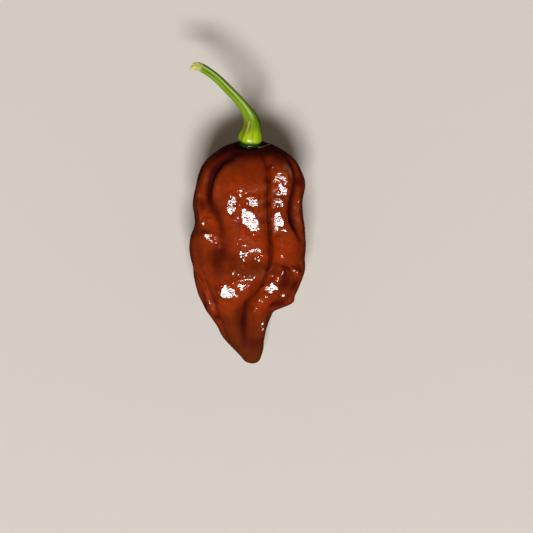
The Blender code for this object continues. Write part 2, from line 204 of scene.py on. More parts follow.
# Small ridges, ledges and puckers of the skin
PUCKERS = (
    ("top", 0.9, 0.9, ((-15.2, 9.3, 0.1), (-13.7, 9.2, 0.25), (-12.4, 8.8, 0.1))),
    ("top", 1.0, 1.0, (
        (14.0, 8.6, 0.2), (13.2, 6.4, 0.5), (13.2, 4.0, 0.5), (13.8, 1.5, 0.5),
        (14.8, -0.5, 0.2),
    )),
    ("top", 1.5, 1.5, (
        (-14.2, -1.8, 0.1), (-11.2, -2.5, 0.3), (-8.6, -3.5, 0.3), (-7.4, -4.6, 0.2),
    )),
    ("top", 1.1, 1.1, ((10.4, -11.5, 0.2), (12.3, -11.9, 0.5), (14.2, -12.6, 0.3))),
    ("top", 0.6, 0.6, ((9.2, -11.8, 0.1), (9.8, -13.2, 0.2), (10.4, -14.6, 0.1))),
    ("top", 0.6, 0.6, ((12.0, -11.8, 0.1), (11.2, -13.0, 0.2), (10.6, -14.0, 0.1))),
    ("top", 0.6, 0.6, ((11.5, -12.9, 0.1), (11.6, -14.2, 0.2), (11.8, -15.4, 0.1))),
)

# Facets are places on top where the skin is pulled nearly flat: centre X and Y, half
# width, half length, turn in degrees, and the slopes towards +X and +Y. Most lean so
# that the light shines in them, and a few so that it doesn't.
FACETS = (
    (4.0, 6.5, 1.0, 5.0, 0, -0.55, 0.10),
    (-12.8, 5.0, 1.4, 2.0, 0, 0.50, 0.05),
    (7.6, -12.0, 1.4, 1.8, 0, 0.40, 0.10),
    (-5.4, -11.4, 1.8, 1.4, 0, 0.32, 0.0),
    (8.7, 12.8, 1.6, 1.8, 0, 0.0, 0.26),
    (8.4, 9.9, 1.8, 1.1, 0, 0.02, 0.26),
    (7.6, 6.3, 1.5, 1.2, 0, 0.0, 0.26),
    (7.7, 1.5, 1.3, 2.5, 0, 0.0, 0.26),
    (9.5, -0.9, 0.9, 0.35, -20, 0.0, 0.26),
    (6.4, 16.4, 0.4, 0.5, 0, 0.0, 0.26),
    (8.1, 16.1, 0.5, 0.35, 0, 0.0, 0.22),
    (-4.9, 6.4, 1.2, 2.1, 0, 0.0, 0.26),
    (-3.5, 6.2, 0.5, 0.3, 0, 0.40, 0.26),
    (0.4, 7.0, 1.6, 1.4, 0, 0.0, 0.26),
    (-0.2, 2.0, 1.4, 3.4, 25, 0.0, 0.26),
    (-10.6, -3.1, 2.4, 0.8, -22, 0.04, 0.26),
    (-12.9, 1.1, 0.5, 0.5, 0, 0.0, 0.27),
    (-13.6, 2.3, 0.35, 0.35, 0, 0.0, 0.27),
    (-12.0, 8.3, 0.35, 0.35, 0, 0.0, 0.27),
    (13.1, 6.6, 0.3, 1.3, -32, 0.14, 0.14),
    (13.0, 4.6, 0.35, 1.2, 10, 0.14, 0.14),
    (12.0, 1.6, 0.6, 0.9, 0, 0.0, -0.05),
    (-2.5, -7.6, 0.3, 1.0, 5, 0.0, 0.26),
    (2.2, -7.5, 0.5, 0.2, -10, 0.0, 0.26),
    (3.9, -7.9, 0.9, 0.22, -10, 0.0, 0.26),
    (2.0, -8.8, 0.6, 0.35, 0, 0.22, 0.18),
    (-2.6, -11.9, 2.0, 0.9, 0, 0.0, 0.04),
    (-0.6, -13.9, 0.8, 2.2, -62, 0.0, 0.08),
    (-6.6, -16.1, 1.6, 0.2, 0, 0.0, 0.26),
    (-1.6, -15.6, 0.6, 2.0, -64, 0.0, 0.26),
    (-4.2, -17.2, 1.0, 3.0, -68, 0.0, 0.26),
    (-5.8, -18.2, 2.1, 1.4, -10, 0.0, 0.26),
    (6.1, -15.8, 0.4, 0.8, 0, 0.0, 0.26),
    (5.9, -17.1, 1.9, 1.1, 0, 0.0, 0.26),
    (8.7, -18.5, 1.4, 0.45, -24, -0.02, 0.26),
    (12.4, -12.0, 1.2, 0.5, -30, -0.09, 0.27),
    (2.9, -20.1, 0.7, 0.35, 0, 0.0, 0.26),
    (1.9, -22.3, 0.4, 0.35, 0, 0.0, 0.26),
    (1.3, -23.3, 0.5, 0.3, 20, 0.0, 0.26),
    (3.4, -26.8, 0.4, 0.4, 0, 0.0, 0.26),
    (3.6, -28.4, 0.25, 0.6, 0, 0.0, 0.22),
    (-14.9, -12.0, 0.2, 2.6, 34, 0.13, 0.15),
    (-11.7, -16.8, 0.2, 2.2, 28, 0.13, 0.15),
    (-12.1, -18.4, 0.3, 0.5, 20, 0.08, 0.20),
    (-11.2, -20.6, 0.3, 0.6, 20, 0.08, 0.20),
    (-10.3, -22.6, 0.25, 0.5, 20, 0.08, 0.20),
    (3.8, -13.4, 0.2, 1.6, -38, 0.12, 0.15),
)

# A facet fades out over this share of its size, with an edge that is ragged by a
# share of its size, in rags of so many millimetres. Only skin that faces up by more
# than a limit is pulled, and none much further than the lift in millimetres, so
# that no horn stands on the pod's edge.
FACET_BLEND = 0.9
FACET_RAGS = 0.5
FACET_RAG_SIZE = 1.1
FACET_FACING = 0.2
FACET_LIFT = 1.4

# Soft waves of the whole skin, as size and height in millimetres. The small ones
# grow where the skin is wrinkled. The flanks have waves of their own, which start
# where the skin faces up by less than a limit.
BROAD_WAVES = (4.5, 0.08)
SMALL_WAVES = (1.7, 0.05)
SMALL_WAVES_LEAST = 0.6
FLANK_WAVES = (5.5, 0.45)
FLANK_FACING = 0.5

# Patches of colour, partly the skin's own tone and partly painted light on the lobes
# and painted shade in the hollows: centre X and Y, reach, and how much more orange
# the skin is
TONE_AND_LIGHT_PATCHES = (
    (-12.0, 2.0, 4.0, 0.7), (0.5, -3.0, 5.5, 0.8), (10.0, -5.5, 5.0, 0.7),
    (8.0, 13.0, 4.5, 0.3), (-3.0, 13.0, 7.0, 0.2), (-9.5, -8.0, 3.5, -0.9),
    (-4.0, -11.5, 6.0, -0.5), (2.0, -12.0, 4.0, -0.5), (-12.0, -10.0, 3.0, -0.3),
    (-5.5, -26.0, 5.0, -0.4), (8.0, -20.4, 3.0, -0.6), (-9.5, -20.0, 2.5, -0.5),
    (-9.0, -12.5, 2.6, -0.8), (11.0, -14.5, 3.0, -0.7), (-9.5, 17.5, 3.0, -0.8),
    (11.5, 5.0, 2.5, -0.7), (1.5, -33.0, 4.0, -0.7),
)

# Patches of dark wine colour, partly the skin's own and partly painted shade in the
# valleys, on the shoulder and at the edges: centre X and Y, reach and strength
WINE_AND_SHADE_PATCHES = (
    (-8.6, -7.0, 3.4, 1.0), (-13.0, 6.6, 2.8, 0.9), (-14.5, -6.2, 1.8, 0.4),
    (-13.2, 16.3, 3.0, 1.0), (9.6, -15.4, 2.8, 1.0), (12.6, -16.2, 3.0, 1.0),
    (14.0, 12.6, 2.4, 1.0), (14.6, -8.0, 2.0, 0.6), (6.3, -21.8, 1.6, 0.6),
    (9.0, -21.4, 2.0, 0.5), (-0.5, -32.4, 3.0, 0.5), (4.4, 6.0, 2.0, 0.8),
    (-9.4, -27.0, 2.0, 0.6), (-12.6, -18.8, 1.4, 0.6), (7.0, -12.4, 2.0, 0.4),
    (3.6, 21.0, 3.0, 0.8), (8.0, -21.4, 2.6, 0.7), (13.8, 16.0, 2.6, 1.0),
    (0.4, -36.0, 3.0, 0.2), (-13.8, 14.5, 1.6, 0.5), (-7.6, 19.4, 3.6, 1.1),
    (-10.4, 16.4, 2.4, 0.8), (-2.6, 21.2, 3.6, 1.1), (4.8, 9.0, 2.0, 0.8),
    (4.9, 13.0, 2.0, 0.8), (5.2, 16.8, 2.0, 0.8), (5.4, -7.0, 1.6, 0.5),
    (-14.3, 13.0, 1.8, 0.9), (11.3, 5.4, 1.8, 1.2), (11.9, 2.0, 1.6, 1.2), (4.2, 1.5, 1.6, 0.5),
    (5.8, 6.0, 1.2, 0.5), (-9.2, -20.2, 2.2, 0.5), (-6.0, -26.0, 3.0, 0.25),
    (-5.4, 19.2, 2.6, 0.9), (14.6, 9.5, 2.0, 0.8), (14.8, -0.5, 2.4, 0.9),
    (-15.2, 9.5, 2.0, 0.7), (-12.4, -21.8, 1.8, 1.0), (-9.4, -25.2, 1.8, 1.0),
    (13.0, -17.6, 1.8, 0.5), (-9.0, -12.5, 2.4, 0.3), (3.2, -22.3, 1.4, 0.5),
    (10.0, -10.5, 2.4, 0.3), (-3.0, -23.6, 2.4, 0.5), (0.6, -28.6, 2.4, 0.4),
    (1.6, -32.0, 2.6, 0.5), (-6.2, -4.2, 2.6, 0.4), (-9.4, -10.2, 2.4, 0.4),
    (-12.2, -20.8, 2.0, 0.7), (9.6, -13.0, 2.0, 0.5), (0.2, -15.8, 1.8, 0.4),
    (-9.6, -16.2, 2.4, 0.4), (9.0, 11.0, 1.8, 0.4), (-15.0, 1.6, 2.0, 0.8),
    (6.4, -21.6, 1.6, 0.6),
)

# Patches of a pale tan painted sheen on ridges and ledges: centre X and Y, reach and
# strength
PAINTED_SHEEN_PATCHES = (
    (10.3, 15.6, 2.2, 1.8), (-13.8, 9.0, 1.6, 0.6), (13.1, 5.6, 1.5, 0.5),
    (13.5, 2.6, 1.5, 0.5), (-8.6, 11.0, 4.0, 0.25), (3.4, 10.8, 1.3, 0.8),
    (3.2, 6.8, 1.3, 0.75), (3.2, 3.4, 1.3, 0.75), (3.2, 0.2, 1.3, 0.65), (3.8, -13.4, 1.6, 0.4),
    (-11.4, -18.6, 1.6, 0.4), (6.1, 2.0, 1.0, 0.7), (8.8, -1.2, 1.5, 0.6), (6.2, 8.0, 1.2, 0.5),
    (9.4, 7.6, 1.6, 0.45), (-12.2, 13.0, 1.8, 0.4), (-13.2, -14.0, 1.8, 0.4),
    (2.4, -12.6, 3.0, 0.3), (-10.2, -22.0, 1.4, 0.4),
)

# Patches where fine wrinkles cross the skin: centre X and Y, reach and strength
RIPPLE_PATCHES = (
    (8.5, 12.4, 3.4, 1.0), (7.6, 6.6, 2.2, 0.9), (7.8, 1.6, 2.6, 0.2), (-4.8, 6.4, 3.0, 1.0),
    (0.4, 6.8, 2.2, 0.8), (-0.6, 2.6, 2.6, 0.5), (-6.2, -18.4, 3.0, 0.3),
    (-2.5, -15.4, 2.8, 0.6), (12.6, -12.2, 2.4, 1.0), (10.4, -14.2, 3.2, 1.0),
    (2.8, -20.6, 2.2, 0.9), (1.6, -23.0, 1.8, 0.9), (3.5, -27.6, 1.8, 1.0),
    (0.6, -8.0, 3.2, 0.3), (-11.6, -19.4, 2.6, 1.0), (6.0, -16.6, 2.2, 0.2),
    (-10.6, -3.0, 2.4, 0.4),
)

# A patch's strength falls by this power of e from its centre to its reach
PATCH_FADE = 2.0

# The round seat of the calyx on the pod's shoulder, leaning up from level. The skin
# is pressed flat there, blends out over some millimetres, and has painted shade round it.
SEAT_CENTRE = (0.1, 23.05, 18.1)
SEAT_LEAN = math.radians(22)
SEAT_RADIUS = 4.0
SEAT_BLEND = 1.6
SEAT_SHADE = 1.3


def read_sections(sections, outline, spine, shares):
    """Rows of a table of sections, read smoothly at shares of the outline's length."""
    table = np.array(sections)
    steps = np.linalg.norm(np.diff(outline, axis=0), axis=1)
    marks = np.concatenate(([0.0], np.cumsum(steps)))
    slopes = np.gradient(table, marks, axis=0)
    slopes[0, :spine] = 0.0
    slopes[-1, :spine] = 0.0
    spots = np.clip(shares, 0.0, 1.0) * marks[-1]
    row = np.clip(np.searchsorted(marks, spots, side="right") - 1, 0, len(marks) - 2)
    gap = (marks[row + 1] - marks[row])[:, None]
    part = (spots - marks[row])[:, None] / gap
    rest = 1.0 - part
    from_row = table[row] * (1.0 + 2.0 * part) + slopes[row] * gap * part
    from_next = table[row + 1] * (1.0 + 2.0 * rest) - slopes[row + 1] * gap * rest
    return from_row * rest**2 + from_next * part**2


def closed_net(name, around, along):
    """A closed net of rings between two poles, with each point's share of the way and its turn."""
    step_round = 2.0 * math.pi / around
    share = np.repeat(np.linspace(0.0, 1.0, along + 1)[1:-1], around)
    turn = np.tile(np.arange(around) * step_round, along - 1)
    share = np.concatenate(([0.0], share, [1.0]))
    turn = np.concatenate(([0.0], turn, [0.0]))
    here = np.arange(around)
    beside = (here + 1) % around
    last = 1 + (along - 2) * around
    faces = [(0, 1 + b, 1 + a) for a, b in zip(here, beside)]
    for row in range(1, last, around):
        ahead = row + around
        faces += [(row + a, row + b, ahead + b, ahead + a) for a, b in zip(here, beside)]
    faces += [(last + a, last + b, last + around) for a, b in zip(here, beside)]
    mesh = bpy.data.meshes.new(name)
    mesh.from_pydata(np.zeros((len(share), 3)), [], faces)
    mesh.polygons.foreach_set("use_smooth", [True] * len(mesh.polygons))
    return mesh, share, turn


def lay_on_pod(side, line):
    """A line drawn on one side of the pod, laid on its plain sections."""
    table = np.array(POD_SECTIONS)[::-1]
    places = table[:, 0]
    left, right, top, bottom, bulge = (
        np.interp(line[:, 1], places, column) for column in table[:, 1:].T
    )
    right = right + bulge
    middle_x, half_x = (left + right) / 2, (right - left) / 2
    middle_z, half_z = (top + bottom) / 2, (top - bottom) / 2
    seen_flat = side in ("top", "under")
    middle, half = (middle_x, half_x) if seen_flat else (middle_z, half_z)
    share = np.abs((line[:, 0] - middle) / half)
    rise = np.clip(1.0 - share**POD_FULLNESS, 0.0, 1.0) ** (1.0 / POD_FULLNESS)
    if seen_flat:
        z = middle_z + half_z * (rise if side == "top" else -rise)
        return np.column_stack((line[:, 0], line[:, 1], z))
    x = middle_x + half_x * (rise if side == "right" else -rise)
    return np.column_stack((x, line[:, 1], line[:, 0]))


def round_corners(line):
    """A drawn line with its corners cut off twice, its two ends kept."""
    line = np.array(line)
    for _ in range(2 if len(line) > 2 else 0):
        near_first = 0.75 * line[:-1] + 0.25 * line[1:]
        near_second = 0.25 * line[:-1] + 0.75 * line[1:]
        between = np.stack((near_first, near_second), axis=1).reshape(-1, line.shape[1])
        line = np.concatenate((line[:1], between[1:-1], line[-1:]))
    return line


def fold_share(points, normals, side, left_reach, right_reach, line):
    """How far out of a fold's reach each point is, from 0 to 1, and the fold's level there."""
    line = round_corners(line)
    route = lay_on_pod(side, line)
    share = np.ones(len(points))
    level = np.zeros(len(points))
    reach = max(left_reach, right_reach)
    low, high = route.min(axis=0) - reach, route.max(axis=0) + reach
    near = np.flatnonzero(((points > low) & (points < high)).all(axis=1))
    spots, facing = points[near], normals[near]
    distance = np.linalg.norm(spots - route[0], axis=1)
    on_left = np.ones(len(near), bool)
    here = np.full(len(near), line[0, 2])
    for start, end, first, second in zip(route, route[1:], line[:, 2], line[1:, 2]):
        run = end - start
        part = np.clip((spots - start) @ run / (run @ run), 0.0, 1.0)
        away = spots - start - part[:, None] * run
        gap = np.linalg.norm(away, axis=1)
        closer = gap < distance
        distance[closer] = gap[closer]
        here[closer] = (first + part * (second - first))[closer]
        turned = np.einsum("ij,ij->i", np.cross(run, away), facing)
        on_left[closer] = turned[closer] > 0.0
    share[near] = np.clip(distance / np.where(on_left, left_reach, right_reach), 0.0, 1.0)
    level[near] = here
    return share, level


def grow_lobes(points, normals):
    """How far the skin is raised at each point, and how deep in a fold it lies, weighted by the
    fold's darkness for its painted shade.
    """
    raised = np.zeros(len(points))
    sunk = np.zeros(len(points))
    for side, left_reach, right_reach, floor_width, shade_weight, line in VALLEYS:
        share, depth = fold_share(points, normals, side, left_reach, right_reach, line)
        bank = np.hypot(share, floor_width) - floor_width
        pressed = depth * (1.0 - bank / (math.hypot(1.0, floor_width) - floor_width)) ** 2
        raised -= pressed
        sunk += shade_weight * pressed
    for swelling in SWELLINGS + PUCKERS:
        share, height = fold_share(points, normals, *swelling)
        raised += height * (1.0 - share**2) ** 2
    return raised, sunk


def press_creases(points, normals):
    """How far the sharp creases press the skin in."""
    pressed = np.zeros(len(points))
    for crease in CREASES:
        share, depth = fold_share(points, normals, *crease)
        pressed += depth * (1.0 - share) ** 2
    return pressed


def patch_tone(points, patches):
    """How strongly the patches of one kind colour the skin at each point."""
    tone = np.zeros(len(points))
    for x, y, reach, strength in patches:
        centre = lay_on_pod("top", np.array([(x, y)]))
        share = np.linalg.norm(points - centre, axis=1) / reach
        tone += strength * np.exp(-PATCH_FADE * share**2)
    return tone


def waver(points, size, height):
    """Soft uneven waves of the skin, of one size and height."""
    return height * np.array([noise.noise(Vector(point) / size) for point in points])


def smooth(share):
    """A share from 0 to 1 that starts and ends gently."""
    return share**2 * (3.0 - 2.0 * share)


def pull_flat(points, facing):
    """Tilts each facet of the skin to its slopes and blends it into the skin round it."""
    points = points.copy()
    ragged = waver(points, FACET_RAG_SIZE, FACET_RAGS)
    for x, y, half_wide, half_long, turn, slope_x, slope_y in FACETS:
        right, ahead = points[:, 0] - x, points[:, 1] - y
        cosine, sine = math.cos(math.radians(turn)), math.sin(math.radians(turn))
        wide = (right * cosine + ahead * sine) / half_wide
        long = (ahead * cosine - right * sine) / half_long
        inside = 1.0 + FACET_BLEND - np.hypot(wide, long) + ragged
        hold = smooth(np.clip(inside / FACET_BLEND, 0.0, 1.0)) * (facing[:, 2] > FACET_FACING)
        lift = points[:, 2] - slope_x * right - slope_y * ahead
        gap = np.average(lift, weights=hold) - lift
        points[:, 2] += hold * gap / (1.0 + (gap / FACET_LIFT) ** 4)
    return points


def press_seat(points):
    """Flattens the pod's shoulder to the plane that the calyx sits on."""
    up = np.array((0.0, math.cos(SEAT_LEAN), math.sin(SEAT_LEAN)))
    away = points - SEAT_CENTRE
    height = away @ up
    radius = np.linalg.norm(away - height[:, None] * up, axis=1)
    hold = smooth(np.clip((SEAT_RADIUS + SEAT_BLEND - radius) / SEAT_BLEND, 0.0, 1.0))
    hold[height < -SEAT_RADIUS] = 0.0
    return points - (height * hold)[:, None] * up


def shape_net(mesh, points):
    """Puts the net's points in place and returns which way each one faces."""
    mesh.vertices.foreach_set("co", np.ravel(points))
    mesh.update()
    facing = np.empty(len(points) * 3)
    mesh.vertex_normals.foreach_get("vector", facing)
    return facing.reshape(-1, 3)


def finish_piece(mesh, points, finish):
    """Makes a piece in metres from a net and its points in millimetres."""
    shape_net(mesh, points * MM)
    mesh.materials.append(finish)
    piece = bpy.data.objects.new(mesh.name, mesh)
    bpy.context.scene.collection.objects.link(piece)
    return piece


def note(piece, name, values):
    """Keeps a number at each vertex, for the finish to read."""
    kind = "FLOAT_VECTOR" if np.ndim(values) == 2 else "FLOAT"
    kept = piece.data.attributes.new(name, kind, "POINT")
    kept.data.foreach_set("vector" if kind == "FLOAT_VECTOR" else "value", np.ravel(values))


def feed(finish, made, feeds):
    """Gives a step or a shader its feeds, each a value or an earlier step's output."""
    for name, value in feeds.items():
        if isinstance(value, bpy.types.NodeSocket):
            finish.node_tree.links.new(value, made.inputs[name])
        else:
            made.inputs[name].default_value = value


def step(finish, kind, feeds, **settings):
    """Adds one step to a finish."""
    made = finish.node_tree.nodes.new(kind)
    for name, value in settings.items():
        setattr(made, name, value)
    feed(finish, made, feeds)
    return made


def start_finish(name):
    """A new finish and its shader."""
    finish = bpy.data.materials.new(name)
    finish.use_nodes = True
    return finish, finish.node_tree.nodes["Principled BSDF"]


def place_on(finish):
    """Where each point of the piece is, in metres."""
    return step(finish, "ShaderNodeTexCoord", {}).outputs["Object"]


def ramp(finish, value, low, high):
    """A smooth share that grows from 0 at the low value to 1 at the high one."""
    feeds = {"Value": value, "From Min": low, "From Max": high}
    made = step(finish, "ShaderNodeMapRange", feeds, interpolation_type="SMOOTHSTEP")
    return made.outputs["Result"]


def along_y(finish, place, start, end):
    """A smooth share that grows from 0 to 1 between two places along Y, in millimetres."""
    spot = step(finish, "ShaderNodeSeparateXYZ", {"Vector": place})
    return ramp(finish, spot.outputs["Y"], start * MM, end * MM)


def reckon(finish, kind, first, second):
    """Two numbers worked into one."""
    return step(finish, "ShaderNodeMath", {0: first, 1: second}, operation=kind).outputs[0]


def times(finish, first, second):
    """Two numbers multiplied."""
    return reckon(finish, "MULTIPLY", first, second)


def plus(finish, first, second):
    """Two numbers added."""
    return reckon(finish, "ADD", first, second)


def minus(finish, first, second):
    """The second number taken from the first."""
    return reckon(finish, "SUBTRACT", first, second)


def tint(finish, colour, share, second, strength=1.0):
    """A colour turned into a second one by a share, up to a strength."""
    if strength != 1.0:
        share = times(finish, share, strength)
    feeds = {0: share, 6: colour, 7: second}
    return step(finish, "ShaderNodeMix", feeds, data_type="RGBA").outputs[2]


def mottle(finish, place, size, detail=3.0):
    """Cloudy unevenness of a size in millimetres."""
    feeds = {"Vector": place, "Scale": 1.0 / (size * MM), "Detail": detail}
    return step(finish, "ShaderNodeTexNoise", feeds).outputs["Fac"]


def stretch(finish, place, scale):
    """A place scaled each way, so that what is drawn by it stretches where it is below 1."""
    return step(finish, "ShaderNodeMapping", {"Vector": place, "Scale": scale}).outputs["Vector"]


def read_note(finish, name):
    """A number kept at the vertices."""
    return step(finish, "ShaderNodeAttribute", {}, attribute_name=name).outputs["Fac"]


def relief(finish, height, depth):
    """Bumps of a depth in millimetres, as the way that the skin faces."""
    feeds = {"Strength": 1.0, "Distance": depth * MM, "Height": height}
    return step(finish, "ShaderNodeBump", feeds).outputs["Normal"]


# Colours of the ripe skin, from the lit lobes with painted light to the folds with
# painted shade, and at the tip; the wine colour is also painted shade, and the tan on
# the ridges is a painted sheen
SKIN_BRIGHT = (0.300, 0.029, 0.0016, 1.0)
SKIN_BROWN = (0.128, 0.0155, 0.0018, 1.0)
SKIN_WINE_AND_SHADE = (0.070, 0.004, 0.0010, 1.0)
PAINTED_FOLD_SHADE = (0.030, 0.0012, 0.0004, 1.0)
SKIN_TIP = (0.058, 0.0125, 0.0020, 1.0)
PAINTED_TAN_SHEEN = (0.280, 0.080, 0.032, 1.0)

# Clouds and specks of colour, and wisps of the painted sheen: size in millimetres,
# strength, and the range of the unevenness over which each comes up. The wisps are
# drawn out lengthwise, and a sheen patch has a least strength between them.
CLOUD_SIZE, CLOUD_STRENGTH, CLOUD_RANGE = 6.0, 0.9, (0.05, 0.95)
SPECK_SIZE, SPECK_STRENGTH, SPECK_RANGE = 1.6, 0.3, (0.35, 0.75)
WISP_SIZE, WISP_LEAST, WISP_RANGE = 1.3, 0.35, (0.42, 0.62)
WISP_STRETCH = (2.0, 0.4, 2.0)

# Painted shade on the shoulder and round the crown, and the dull tip colour, come up
# between two places along Y, in millimetres, and how strongly
SHOULDER_SHADE, SHOULDER_SHADE_STRENGTH = (15.0, 22.0), 0.9
CROWN_SHADE, CROWN_SHADE_STRENGTH = (18.0, 21.5), 0.6
TIP_DULL, TIP_STRENGTH = (-18.0, -36.0), 0.75

# Patches of wine colour and painted shade come up over a range of their strength,
# less so where the skin is bright. Folds take painted shade, lose their gloss and lose
# their wax over ranges of how far they are sunk.
WINE_AND_SHADE_RANGE, WINE_AND_SHADE_YIELDS = (-0.2, 0.9), 0.3
FOLD_SHADE_RANGE, FOLD_SHADE_STRENGTH = (0.1, 1.1), 0.95
FOLD_DULL, FOLD_DULLNESS = (0.1, 0.6), 0.45
WAX_ENDS = (0.02, 0.18)

# Orange peel, and the finer rungs that cross it: size in millimetres, stretch, and
# the rungs' share. The depth is in millimetres too, and grows where the skin is
# wrinkled.
PEEL_SIZE, PEEL_STRETCH = 0.9, (0.7, 1.0, 0.7)
RUNG_SIZE, RUNG_STRETCH, RUNG_SHARE = 0.7, (0.4, 1.0, 0.4), 0.6
PEEL_DEPTH, PEEL_LEAST, PEEL_GROWS = 0.17, 0.6, 0.9

# Under its clear, smooth wax the skin is satin, from the brown places to the bright
SATIN_BROWN, SATIN_BRIGHT = 0.30, 0.36
WAX_ROUGHNESS = 0.06
SKIN_SPECULAR = 0.05


def pod_clouds(finish, place):
    """How bright the skin is, from 0 to 1: listed patches of tone and painted light and shade, with
    clouds over them.
    """
    patches = plus(finish, times(finish, read_note(finish, "tone"), 0.5), 0.5)
    clouds = minus(finish, mottle(finish, place, CLOUD_SIZE), 0.5)
    clouds = times(finish, clouds, CLOUD_STRENGTH)
    return ramp(finish, plus(finish, patches, clouds), *CLOUD_RANGE)


def pod_colour(finish, place, clouds):
    """Brown-red skin with wine specks, a dull tip, wisps of painted sheen, and painted shade on the
    shoulder, round the crown, in the wine patches and in the folds.
    """
    # Brown to bright, partly the skin's own tone and partly painted light on the lobes
    colour = tint(finish, SKIN_BROWN, clouds, SKIN_BRIGHT)
    specks = ramp(finish, mottle(finish, place, SPECK_SIZE), *SPECK_RANGE)
    colour = tint(finish, colour, specks, SKIN_WINE_AND_SHADE, SPECK_STRENGTH)
    # Painted shade on the shoulder
    shoulder_shade = along_y(finish, place, *SHOULDER_SHADE)
    colour = tint(finish, colour, shoulder_shade, SKIN_WINE_AND_SHADE, SHOULDER_SHADE_STRENGTH)
    tip = along_y(finish, place, *TIP_DULL)
    colour = tint(finish, colour, tip, SKIN_TIP, TIP_STRENGTH)
    # Wisps of a painted tan sheen
    sheen_wisps = mottle(finish, stretch(finish, place, WISP_STRETCH), WISP_SIZE)
    sheen_wisps = plus(finish, ramp(finish, sheen_wisps, *WISP_RANGE), WISP_LEAST)
    sheen_wisps = times(finish, read_note(finish, "tan"), sheen_wisps)
    colour = tint(finish, colour, ramp(finish, sheen_wisps, 0.0, 1.0), PAINTED_TAN_SHEEN)
    # Patches of wine colour that is partly painted shade
    wine_and_shade = minus(finish, read_note(finish, "wine_and_shade"), times(finish, clouds, WINE_AND_SHADE_YIELDS))
    colour = tint(finish, colour, ramp(finish, wine_and_shade, *WINE_AND_SHADE_RANGE), SKIN_WINE_AND_SHADE)
    # Painted shade round the crown
    crown_shade = along_y(finish, place, *CROWN_SHADE)
    colour = tint(finish, colour, crown_shade, PAINTED_FOLD_SHADE, CROWN_SHADE_STRENGTH)
    # Painted shade in the folds
    fold_shade = ramp(finish, read_note(finish, "sunk"), *FOLD_SHADE_RANGE)
    return tint(finish, colour, fold_shade, PAINTED_FOLD_SHADE, FOLD_SHADE_STRENGTH)


def pod_relief(finish, place):
    """A fine orange peel, crossed by finer rungs."""
    peel = mottle(finish, stretch(finish, place, PEEL_STRETCH), PEEL_SIZE, 2.0)
    rungs = mottle(finish, stretch(finish, place, RUNG_STRETCH), RUNG_SIZE, 1.0)
    wrinkled = times(finish, read_note(finish, "rippled"), PEEL_GROWS)
    height = plus(finish, peel, times(finish, rungs, RUNG_SHARE))
    height = times(finish, height, plus(finish, wrinkled, PEEL_LEAST))
    return relief(finish, height, PEEL_DEPTH)


def pod_finish():
    """Mottled red-brown skin under clear wax, which ends in the folds."""
    finish, shader = start_finish("pod_skin")
    place = place_on(finish)
    clouds = pod_clouds(finish, place)
    satin = {"Value": clouds, "To Min": SATIN_BROWN, "To Max": SATIN_BRIGHT}
    satin = step(finish, "ShaderNodeMapRange", satin).outputs["Result"]
    sunk = read_note(finish, "sunk")
    dull = times(finish, ramp(finish, sunk, *FOLD_DULL), FOLD_DULLNESS)
    bumps = pod_relief(finish, place)
    feed(finish, shader, {
        "Base Color": pod_colour(finish, place, clouds),
        "Roughness": plus(finish, satin, dull),
        "Specular IOR Level": SKIN_SPECULAR,
        "Normal": bumps,
        "Coat Weight": minus(finish, 1.0, ramp(finish, sunk, *WAX_ENDS)),
        "Coat Roughness": WAX_ROUGHNESS,
        "Coat Normal": bumps,
    })
    return finish


net, share, turn = closed_net("pepper_pod", POD_AROUND, POD_ALONG)
table = np.array(POD_SECTIONS)
outline = np.column_stack((table[:, 0], (table[:, 2] - table[:, 1]) / 2))
place_y, left, right, top, bottom, bulge = read_sections(POD_SECTIONS, outline, 1, share).T
cosine, sine = np.cos(turn), np.sin(turn)
fit = (np.abs(cosine) ** POD_FULLNESS + np.abs(sine) ** POD_FULLNESS) ** (-1.0 / POD_FULLNESS)
fit[[0, -1]] = 0.0
x = (left + right) / 2 + (right - left) / 2 * cosine * fit + bulge * np.maximum(cosine, 0.0) ** 2
z = (top + bottom) / 2 + (top - bottom) / 2 * sine * fit
plain = np.column_stack((x, place_y, z))
facing = shape_net(net, plain)
raised, sunk = grow_lobes(plain, facing)
skin = plain + facing * raised[:, None]
skin = pull_flat(skin, shape_net(net, skin))
creased = press_creases(plain, facing)
rippled = patch_tone(plain, RIPPLE_PATCHES)
waves = waver(plain, *BROAD_WAVES) + waver(plain, *SMALL_WAVES) * (SMALL_WAVES_LEAST + rippled)
waves += waver(plain, *FLANK_WAVES) * np.clip(FLANK_FACING - facing[:, 2], 0.0, 1.0)
skin += shape_net(net, skin) * (waves - creased)[:, None]
skin = press_seat(skin)
skin[:, 2] = np.maximum(skin[:, 2], 0.0)
# The creases and the skin round the calyx seat count as sunk too, so they take the folds' painted
# shade and lose gloss and wax.
from_seat = np.linalg.norm(plain - SEAT_CENTRE, axis=1)
sunk += creased
sunk += SEAT_SHADE * np.clip(2.0 - from_seat / SEAT_RADIUS, 0.0, 1.0)
pod = finish_piece(net, skin, pod_finish())
note(pod, "sunk", sunk)
note(pod, "rippled", rippled)
note(pod, "tone", patch_tone(plain, TONE_AND_LIGHT_PATCHES))
note(pod, "wine_and_shade", patch_tone(plain, WINE_AND_SHADE_PATCHES))
note(pod, "tan", patch_tone(plain, PAINTED_SHEEN_PATCHES))
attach(pod, "root")
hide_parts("pod")


# The calyx and stalk are one green, fleshy stem, which the pod grew on. The stalk
# has soft lengthwise edges and was snapped off at its pale, dried end.
STEM_AROUND = 96
STEM_ALONG = 280

